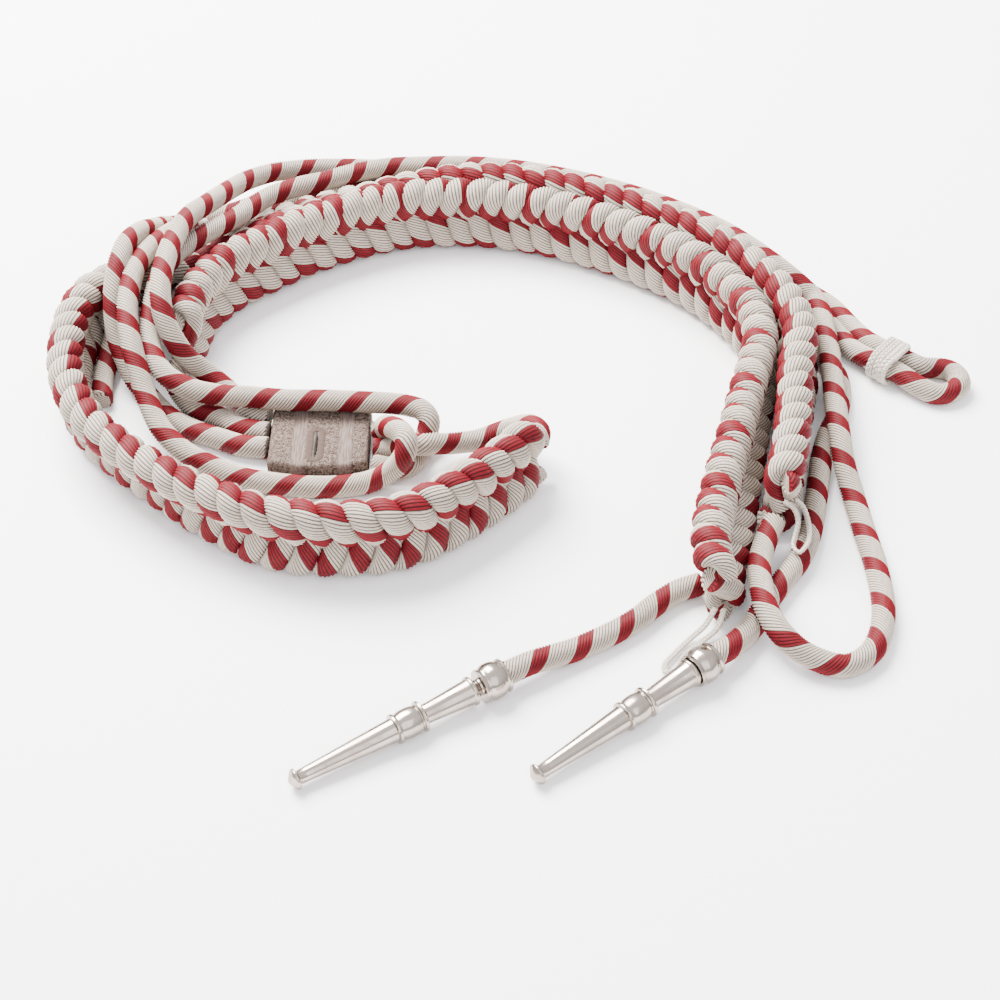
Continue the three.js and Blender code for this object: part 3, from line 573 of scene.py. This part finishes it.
# Round the back the long plait follows the short one: how far along that, and the lean
long_plait_beside_rows = [
    (0.135, 60), (0.19, 60), (0.245, 58), (0.285, 50), (0.32, 38), (0.355, 26), (0.395, 17),
    (0.44, 12), (0.49, 10), (0.535, 9), (0.58, 7), (0.625, 4), (0.67, 4), (0.71, 6), (0.75, 8),
]
long_plait_end_rows = [
    (0.325, 0.14, 4), (0.317, 0.072, 2), (0.309, 0.012, 0), (0.3, -0.045, 0), (0.291, -0.085, 0),
]
# A route's third column is the lean in thousandths, so that it stays small beside the lengths
lean_scale = 0.001
route_spacing = 0.0002


def row_point(across, away, lean):
    """A point of a plait's route, in metres and scaled radians."""
    return across * laid_width, away * laid_depth, math.radians(lean) * lean_scale


short_route = smooth_route([row_point(*row) for row in short_plait_rows], route_spacing)


def beside_point(along_short, lean):
    """A point of the long plait where it lies against the outside of the short one."""
    spot = round(along_short * (len(short_route) - 1))
    place = short_route[spot]
    way = unit((short_route[spot + 1] - short_route[spot - 1])[:2])
    lean = math.radians(lean)
    reach = side_half * math.sin(abs(lean - place[2] / lean_scale))
    offset = plait_thickness + plaits_apart + reach
    return place[0] - way[1] * offset, place[1] + way[0] * offset, lean * lean_scale


long_route = smooth_route(
    [row_point(*row) for row in long_plait_front_rows]
    + [beside_point(*row) for row in long_plait_beside_rows]
    + [row_point(*row) for row in long_plait_end_rows],
    route_spacing,
)


def plait_frame(route):
    """The plait's middle line, its height direction and its thickness direction."""
    way = np.gradient(route[:, :2], axis=0)
    way = unit(np.hstack([way, np.zeros((len(way), 1))]))
    right = np.cross(way, up)
    lean = route[:, 2:] / lean_scale
    tall = up * np.cos(lean) + right * np.sin(lean)
    wide = right * np.cos(lean) - up * np.sin(lean)
    stand = side_half * np.abs(np.cos(lean)) + plait_thickness / 2
    return np.hstack([route[:, :2], stand]) - laid_middle, tall, wide


def braid(middle, tall, wide, sizes, swing):
    """Three strands that cross in turn. swing is 1 or -1, the face on which they spread outwards."""
    run = np.concatenate([[0], np.cumsum(np.linalg.norm(np.diff(middle, axis=0), axis=1))])
    from_end = np.minimum(run, run[-1] - run)
    drawn_out = np.sin(np.clip(from_end / sizes["taper"], 0, 1) * math.pi / 2)
    full = end_taper + (1 - end_taper) * drawn_out
    strands = []
    for strand in range(3):
        beat = 2 * math.pi * (run / sizes["period"] + strand / 3)
        tilt = math.pi / 2 * np.cos(beat)
        centre = middle + tall * (sizes["rise"] * full * np.sin(beat))[:, None]
        centre = centre + wide * (swing * sizes["weave"] * np.sin(2 * beat))[:, None]
        press = tall * np.cos(tilt)[:, None] + wide * (swing * np.sin(tilt))[:, None]
        line = even_steps(np.hstack([centre, press]), sizes["ring_spacing"])
        centre, press = line[:, :3], line[:, 3:]
        way, side = untwisted_side(centre)
        over = np.cross(way, side)
        flat = unit(press - way * (press * way).sum(axis=1, keepdims=True))
        rolled = np.unwrap(np.arctan2((flat * over).sum(axis=1), (flat * side).sum(axis=1)))
        travel = np.linspace(0, line_length(centre), len(centre))
        turn = strand_turn * strand - travel * 2 * math.pi / sizes["pitch"] - rolled
        halves = (sizes["half_flat"], sizes["half_wide"])
        strands.append((centre, flat, np.cross(way, flat), *halves, turn))
    return strands


for plait, node, route, swing in [
    ("short_plait", "plait_short", short_route, 1),
    ("long_plait", "plait_long", long_route, -1),
]:
    for number, strand in enumerate(braid(*plait_frame(route), plait_sizes, swing)):
        wind_skin(
            f"{plait}_strand_{number + 1}",
            [strand],
            cord_ribs,
            cord_rib_relief,
            gimp,
            [node],
        )

# Thin loops. At the end of each plait hangs a small loop of braided white silk, 2 mm thick,
# that comes out between the strands and lies on the cords below it.
thin_loop_sizes = {
    "rise": 0.00058,
    "weave": 0.0003,
    "half_flat": 0.00036,
    "half_wide": 0.00054,
    "period": 0.0039,
    "pitch": 0.004,
    "ring_spacing": 0.0003,
    "taper": 0.001,
}
fine_spacing = 0.0001
silk_ribs = 5
silk_rib_relief = 0.05
# The crown colour is the silk's own. The groove colour is painted shade between the fine ribs.
silk_crown = "d2c6b8"
silk_painted_shade = "2e231c"
# Fibres 0.7 mm long, per metre
silk_marks = 1500.0
short_loop_points = [
    (0.065, -0.0555, 0.007), (0.0618, -0.0593, 0.0036), (0.0574, -0.0628, 0.0016),
    (0.0522, -0.0688, 0.0014), (0.0488, -0.0738, 0.0014), (0.0492, -0.0762, 0.0014),
    (0.052, -0.0754, 0.0014), (0.055, -0.07, 0.0014), (0.0604, -0.0644, 0.0016),
    (0.0656, -0.0602, 0.0036), (0.0676, -0.0556, 0.007),
]
long_loop_points = [
    (0.0888, -0.0191, 0.0172), (0.0918, -0.0204, 0.0154), (0.0932, -0.023, 0.0122),
    (0.0922, -0.0266, 0.0096), (0.0912, -0.0306, 0.0088), (0.0926, -0.0332, 0.0088),
    (0.095, -0.0306, 0.0088), (0.0968, -0.0256, 0.0092), (0.0964, -0.0212, 0.0116),
    (0.0948, -0.0188, 0.0148), (0.0924, -0.0179, 0.017),
]


def braided_silk(name):
    """Spun silk. It gives the eye a soft shine, with fine ribs round each strand and painted shade
    darkening between them.
    """
    material, tree, shader = new_material(name)
    uv = add_node(tree, "ShaderNodeUVMap")
    across = add_node(tree, "ShaderNodeSeparateXYZ", Vector=uv.outputs[0]).outputs[1]
    rib = add_node(
        tree, "ShaderNodeMath", {"operation": "MULTIPLY"}, i0=across, i1=float(silk_ribs)
    )
    crown = add_node(tree, "ShaderNodeMath", {"operation": "PINGPONG"}, i0=rib.outputs[0], i1=0.5)
    # Painted shade: the colour darkens into the groove between two ribs.
    groove_shade_mask = add_node(
        tree,
        "ShaderNodeMapRange",
        Value=crown.outputs[0],
        From_Min=0.0,
        From_Max=0.3,
        To_Min=0.6,
        To_Max=0.0,
    )
    place = add_node(tree, "ShaderNodeTexCoord").outputs["Object"]
    fibre = add_node(tree, "ShaderNodeTexNoise", Vector=place, Scale=silk_marks, Detail=2.0)
    # The painted groove shade, with fibre marks added.
    shade_and_marks = add_node(
        tree,
        "ShaderNodeMath",
        {"operation": "MULTIPLY_ADD"},
        i0=fibre.outputs[0],
        i1=0.3,
        i2=groove_shade_mask.outputs[0],
    )
    colour = add_node(
        tree,
        "ShaderNodeMix",
        {"data_type": "RGBA"},
        i0=shade_and_marks.outputs[0],
        i6=linear(silk_crown),
        i7=linear(silk_painted_shade),
    )
    tree.links.new(colour.outputs[2], shader.inputs["Base Color"])
    shader.inputs["Roughness"].default_value = 0.36
    shader.inputs["Sheen Weight"].default_value = 0.1
    return material


silk = braided_silk("braided white silk")
for node, points in [("end_loop_short", short_loop_points), ("end_loop_long", long_loop_points)]:
    line = smooth_route(np.array(points) - laid_middle, fine_spacing)
    way, side = untwisted_side(line)
    strands = braid(line, side, np.cross(way, side), thin_loop_sizes, 1)
    piece = wind_skin(
        f"{node}_silk", strands, silk_ribs, silk_rib_relief, silk, [node]
    )

# Slider knot. A band of three rows of white silk braid is wrapped round both strands of the
# button loop, and its end is tucked round the nearer strand, so that it slides to tighten the loop.
# knot_corner is how sharply the band turns from its flat faces to its round sides.
knot_middle = np.array((0.1355, 0.0655, 0.00575)) - laid_middle
knot_turn = math.radians(50)
knot_half_flat = 0.00375
knot_corner = 40
knot_radius = 0.00475
knot_row_spacing = 0.0025
knot_sizes = {
    "rise": 0.0008,
    "weave": 0.00042,
    "half_flat": 0.0005,
    "half_wide": 0.00062,
    "period": 0.00505,
    "pitch": 0.004,
    "ring_spacing": 0.0004,
    "taper": 0.0001,
}
tuck_sizes = {
    **knot_sizes,
    "rise": 0.0012,
    "weave": 0.0004,
    "half_wide": 0.0008,
    "period": 0.0046,
    "taper": 0.003,
}
across_strands = np.array((math.cos(knot_turn), math.sin(knot_turn), 0.0))
along_strands = np.array((math.sin(knot_turn), -math.cos(knot_turn), 0.0))


def knot_row(name, bend, shift, radius, slant, sizes):
    """One row of braid round the strands, shift along them and slanted by slant at its sides."""
    out = np.cos(bend)[:, None] * across_strands + np.sin(bend)[:, None] * up
    aside = knot_half_flat * np.clip(np.cos(bend) * knot_corner, -1, 1)
    line = knot_middle + radius * out + aside[:, None] * across_strands
    line = line + (shift + slant * np.cos(bend))[:, None] * along_strands
    line = even_steps(line, fine_spacing)
    way = unit(np.gradient(line, axis=0))
    tall = unit(along_strands - way * (way @ along_strands)[:, None])
    strands = braid(line, tall, np.cross(way, tall), sizes, 1)
    wind_skin(name, strands, silk_ribs, silk_rib_relief, silk, ["slider_knot"])


once_round = np.linspace(-0.5 * math.pi, 1.5 * math.pi, 721)
for row in range(3):
    shift = (row - 1) * knot_row_spacing
    knot_row(f"slider_row_{row + 1}", once_round, shift, knot_radius, 0.0, knot_sizes)
near_side = np.linspace(0.42 * math.pi, 1.45 * math.pi, 361)
knot_row("slider_tuck", near_side, shift=0.0036, radius=0.0051, slant=0.0012, sizes=tuck_sizes)

# Shoulder tab. A pad of greige cloth is sewn over the ends of the cords with close zigzag
# stitches, apart from two smooth bands. Its one buttonhole goes over the shoulder button.
tab_low, tab_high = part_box("shoulder_tab")
tab_middle = (tab_low + tab_high) / 2
tab_half_width = (tab_high.x - tab_low.x) / 2
tab_cells = 72
tab_edge_round = 0.0014
tab_corner_rise = 0.0022
tab_underside = 0.0002
left_band, right_band = -0.0067, 0.0087
band_half_width = 0.0023
band_depth = 0.0003
band_squareness = 6
# The zigzag rows pucker the cloth: how high, and the waves across, along and slanting between
pucker_height = 0.00012
pucker_across, pucker_along, pucker_slant = 4100, 83, 61
cloth_light = "70625a"
cloth_dark = "3a2d26"
band_light = "72645d"
band_dark = "5a4c45"
stitch_brown = "3a2c24"
felt_white = "f6f3ee"
# Marks per metre, for threads that the stretch makes 0.5 mm wide and 6 mm long, zigzag stitches
# 0.8 mm long, felt fibres 1.1 mm long and stitch fibres 0.6 mm long
thread_marks = 800.0
thread_stretch = (2.6, 0.2, 1.0)
zigzag_marks = 1300.0
felt_marks = 900.0
stitch_marks = 1800.0


def quilted_cloth(name):
    """Cloth under close zigzag stitches. It gives the eye a matt, uneven mottle, and in the two
    bands straight threads from back to front."""
    material, tree, shader = new_material(name)
    place = add_node(tree, "ShaderNodeTexCoord").outputs["Object"]
    across = add_node(tree, "ShaderNodeSeparateXYZ", Vector=place).outputs[0]
    bands = []
    for band in (left_band, right_band):
        off_band = add_node(
            tree, "ShaderNodeMath", {"operation": "SUBTRACT"}, i0=across, i1=tab_middle.x + band
        )
        off_band = add_node(
            tree, "ShaderNodeMath", {"operation": "ABSOLUTE"}, i0=off_band.outputs[0]
        )
        bands.append(
            add_node(
                tree,
                "ShaderNodeMapRange",
                Value=off_band.outputs[0],
                From_Min=band_half_width - 0.0006,
                From_Max=band_half_width + 0.0003,
                To_Min=1.0,
                To_Max=0.0,
            ).outputs[0]
        )
    in_band = add_node(
        tree, "ShaderNodeMath", {"operation": "MAXIMUM"}, i0=bands[0], i1=bands[1]
    ).outputs[0]
    drawn_out = add_node(tree, "ShaderNodeMapping", Vector=place)
    drawn_out.inputs["Scale"].default_value = thread_stretch
    threads = add_node(
        tree, "ShaderNodeTexNoise", Vector=drawn_out.outputs[0], Scale=thread_marks, Detail=2.0
    )
    zigzag = add_node(
        tree, "ShaderNodeTexNoise", Vector=place, Scale=zigzag_marks, Detail=2.0, Distortion=1.5
    )
    texture = add_node(
        tree, "ShaderNodeMix", i0=in_band, i2=zigzag.outputs[0], i3=threads.outputs[0]
    )
    light = add_node(
        tree,
        "ShaderNodeMapRange",
        Value=texture.outputs[0],
        From_Min=0.4,
        From_Max=0.58,
        To_Min=0.0,
        To_Max=1.0,
    ).outputs[0]
    pair = []
    for dark, pale in ((cloth_dark, cloth_light), (band_dark, band_light)):
        blend = add_node(
            tree, "ShaderNodeMix", {"data_type": "RGBA"}, i0=light, i6=linear(dark), i7=linear(pale)
        )
        pair.append(blend.outputs[2])
    colour = add_node(
        tree, "ShaderNodeMix", {"data_type": "RGBA"}, i0=in_band, i6=pair[0], i7=pair[1]
    )
    relief = add_node(tree, "ShaderNodeMix", i0=in_band, i2=1.0, i3=0.4)
    height = add_node(
        tree, "ShaderNodeMath", {"operation": "MULTIPLY"}, i0=light, i1=relief.outputs[0]
    )
    bump = add_node(
        tree, "ShaderNodeBump", Strength=0.6, Distance=0.0003, Height=height.outputs[0]
    )
    tree.links.new(colour.outputs[2], shader.inputs["Base Color"])
    tree.links.new(bump.outputs[0], shader.inputs["Normal"])
    shader.inputs["Roughness"].default_value = 0.85
    shader.inputs["Specular IOR Level"].default_value = 0.1
    return material


def plain_fibre(name, pale, dark, marks):
    """Matt fibres, as in felt or satin stitch. They give the eye a soft, uneven shade, no gloss."""
    material, tree, shader = new_material(name)
    place = add_node(tree, "ShaderNodeTexCoord").outputs["Object"]
    fibre = add_node(tree, "ShaderNodeTexNoise", Vector=place, Scale=marks, Detail=3.0)
    colour = add_node(
        tree,
        "ShaderNodeMix",
        {"data_type": "RGBA"},
        i0=fibre.outputs[0],
        i6=linear(pale),
        i7=linear(dark),
    )
    bump = add_node(tree, "ShaderNodeBump", Strength=0.5, Distance=0.0002, Height=fibre.outputs[0])
    tree.links.new(colour.outputs[2], shader.inputs["Base Color"])
    tree.links.new(bump.outputs[0], shader.inputs["Normal"])
    shader.inputs["Roughness"].default_value = 0.8
    shader.inputs["Specular IOR Level"].default_value = 0.1
    return material


cloth = quilted_cloth("quilted greige cloth")
felt = plain_fibre("white felt inside the pad", felt_white, band_light, felt_marks)
stitch = plain_fibre("brown satin stitch", band_dark, stitch_brown, stitch_marks)

# The top is one grid, rounded at its edges, and its rims are drawn down to the table
pad = bmesh.new()
bmesh.ops.create_grid(pad, x_segments=tab_cells, y_segments=tab_cells, size=1)
for vertex in pad.verts:
    across, away = vertex.co.x, vertex.co.y
    front = tab_low.y + tab_corner_rise * across**2
    edge = min(1 - abs(across), 1 - abs(away)) * tab_half_width / tab_edge_round
    drop = tab_edge_round * (1 - math.sqrt(1 - (1 - min(edge, 1)) ** 2))
    from_middle = across * tab_half_width
    for band in (left_band, right_band):
        off_band = (from_middle - band) / band_half_width
        drop += band_depth * math.exp(-(off_band**band_squareness))
    pucker = math.sin(from_middle * pucker_across + away * pucker_slant)
    drop += pucker_height * (1 + pucker * math.sin(away * pucker_along))
    vertex.co.x = tab_middle.x + from_middle
    vertex.co.y = front + (away + 1) / 2 * (tab_high.y - front)
    vertex.co.z = tab_high.z - drop
rim = bmesh.ops.extrude_edge_only(pad, edges=[edge for edge in pad.edges if edge.is_boundary])
for item in rim["geom"]:
    if isinstance(item, bmesh.types.BMVert):
        item.co.z = tab_low.z + tab_underside
bmesh.ops.holes_fill(pad, edges=[edge for edge in pad.edges if edge.is_boundary], sides=0)
bmesh.ops.recalc_face_normals(pad, faces=pad.faces)
for face in pad.faces:
    face.smooth = len(face.verts) == 4
tab_pad = add_piece("tab_pad", pad, cloth, ["shoulder_tab"])

# Buttonhole. It is a long pointed slit, cut right through the pad, and shows the white felt
# inside. Its sides bulge by slit_roundness, from a circle's at 0.5 to straight ones at 1.
slit_middle = Vector((-0.0655, -0.0151))
slit_half_length = 0.007
slit_half_width = 0.0009
slit_roundness = 0.8
slit_steps = 12
slit_bottom = -0.004
slit_cut_height = 0.02


def slit_side(along):
    """Half the buttonhole's width at a place along it, from -1 to 1."""
    return slit_half_width * max(0.0, 1 - along**2) ** slit_roundness


slit = bmesh.new()
places = [step / slit_steps for step in range(-slit_steps, slit_steps + 1)]
lens = [(slit_side(along), along) for along in places]
lens += [(-slit_side(along), along) for along in reversed(places[1:-1])]
lens = [
    slit.verts.new((slit_middle.x + aside, slit_middle.y + along * slit_half_length, slit_bottom))
    for aside, along in lens
]
lifted = bmesh.ops.extrude_face_region(slit, geom=[slit.faces.new(lens)])
lifted = [item for item in lifted["geom"] if isinstance(item, bmesh.types.BMVert)]
bmesh.ops.translate(slit, verts=lifted, vec=(0, 0, slit_cut_height))
bmesh.ops.recalc_face_normals(slit, faces=slit.faces)
slit_mesh = bpy.data.meshes.new("buttonhole_cutter")
slit.to_mesh(slit_mesh)
slit.free()
slit_mesh.materials.append(felt)
slit_cutter = bpy.data.objects.new("buttonhole_cutter", slit_mesh)
bpy.context.scene.collection.objects.link(slit_cutter)
buttonhole = tab_pad.modifiers.new("buttonhole", "BOOLEAN")
buttonhole.operation = "DIFFERENCE"
buttonhole.solver = "EXACT"
buttonhole.material_mode = "TRANSFER"
buttonhole.object = slit_cutter
with bpy.context.temp_override(object=tab_pad, active_object=tab_pad):
    bpy.ops.object.modifier_apply(modifier=buttonhole.name)
bpy.data.objects.remove(slit_cutter)

# Satin stitch. Brown thread is sewn round the buttonhole in close turns over its edge, so that
# the slit doesn't fray. Each turn of thread is a few rings wide and stands up in its middle, and
# stitch_corner is how sharply the row turns at the slit's ends.
stitch_aside = 0.0019
stitch_straight = 0.0056
stitch_corner = 30
stitch_sunk = 0.0002
stitch_half_width = 0.0012
stitch_half_height = 0.0004
stitch_sides = 6
thread_rings = 5
thread_swell = 0.25
turns = np.linspace(0, 2 * math.pi, 241)
straight = stitch_straight * np.clip(np.cos(turns) * stitch_corner, -1, 1)
stitch_line = np.stack(
    [
        slit_middle.x + stitch_aside * np.sin(turns),
        slit_middle.y + straight + stitch_aside * np.cos(turns),
        np.full(len(turns), tab_high.z - stitch_sunk),
    ],
    axis=1,
)
stitch_line = even_steps(stitch_line, fine_spacing)
stitch_way = unit(np.gradient(stitch_line, axis=0))
upright = np.repeat([up], len(stitch_line), axis=0)
humps = np.abs(np.sin(np.arange(len(stitch_line)) * math.pi / thread_rings))[:, None]
stitch_tube = (
    stitch_line,
    upright,
    np.cross(stitch_way, upright),
    stitch_half_height * (1 - thread_swell + thread_swell * humps),
    stitch_half_width,
    np.zeros(len(stitch_line)),
)
wind_skin(
    "buttonhole_stitch", [stitch_tube], stitch_sides, 0.0, stitch, ["shoulder_tab"]
)

# Table. A plain white surface that the aiguillette lies on, under a large soft light from the
# back left and a weaker one from the front, so that the shadows are short and pale.
table_white = "fbf9f9"
table_half_size = 8.0
table_bmesh = bmesh.new()
bmesh.ops.create_grid(table_bmesh, x_segments=1, y_segments=1, size=table_half_size)
table_mesh = bpy.data.meshes.new("table")
table_bmesh.to_mesh(table_mesh)
table_bmesh.free()
table = bpy.data.objects.new("table", table_mesh)
bpy.context.scene.collection.objects.link(table)
# A matt painted board, which gives the eye no reflections, only the soft shadows
table_top, _, table_shader = new_material("white table top")
table_shader.inputs["Base Color"].default_value = linear(table_white)
table_shader.inputs["Roughness"].default_value = 0.9
table_mesh.materials.append(table_top)

# Each lamp's place, width, watts and tint
lamps = [
    ("window light", (-0.45, 0.55, 0.95), 0.8, 112.0, (1.0, 0.985, 0.965)),
    ("front fill", (0.35, -1.1, 1.0), 1.3, 14.0, (0.97, 0.98, 1.0)),
]
for lamp_name, place, width, watts, tint in lamps:
    lamp_data = bpy.data.lights.new(lamp_name, "AREA")
    lamp_data.size = width
    lamp_data.energy = watts
    lamp_data.color = tint
    lamp = bpy.data.objects.new(lamp_name, lamp_data)
    lamp.location = place
    lamp.rotation_euler = (-Vector(place)).to_track_quat("-Z", "Y").to_euler()
    bpy.context.scene.collection.objects.link(lamp)

# The air round the table glows more from above than from the sides, as a pale room does
sky = bpy.data.worlds.new("studio air")
sky.use_nodes = True
looking = add_node(sky.node_tree, "ShaderNodeTexCoord").outputs["Generated"]
upwards = add_node(sky.node_tree, "ShaderNodeSeparateXYZ", Vector=looking).outputs[2]
glow = add_node(
    sky.node_tree,
    "ShaderNodeMapRange",
    Value=upwards,
    From_Min=0.05,
    From_Max=0.6,
    To_Min=1.2,
    To_Max=2.2,
)
background = sky.node_tree.nodes["Background"]
background.inputs["Color"].default_value = (0.95, 0.96, 1.0, 1)
sky.node_tree.links.new(glow.outputs[0], background.inputs["Strength"])
bpy.context.scene.world = sky
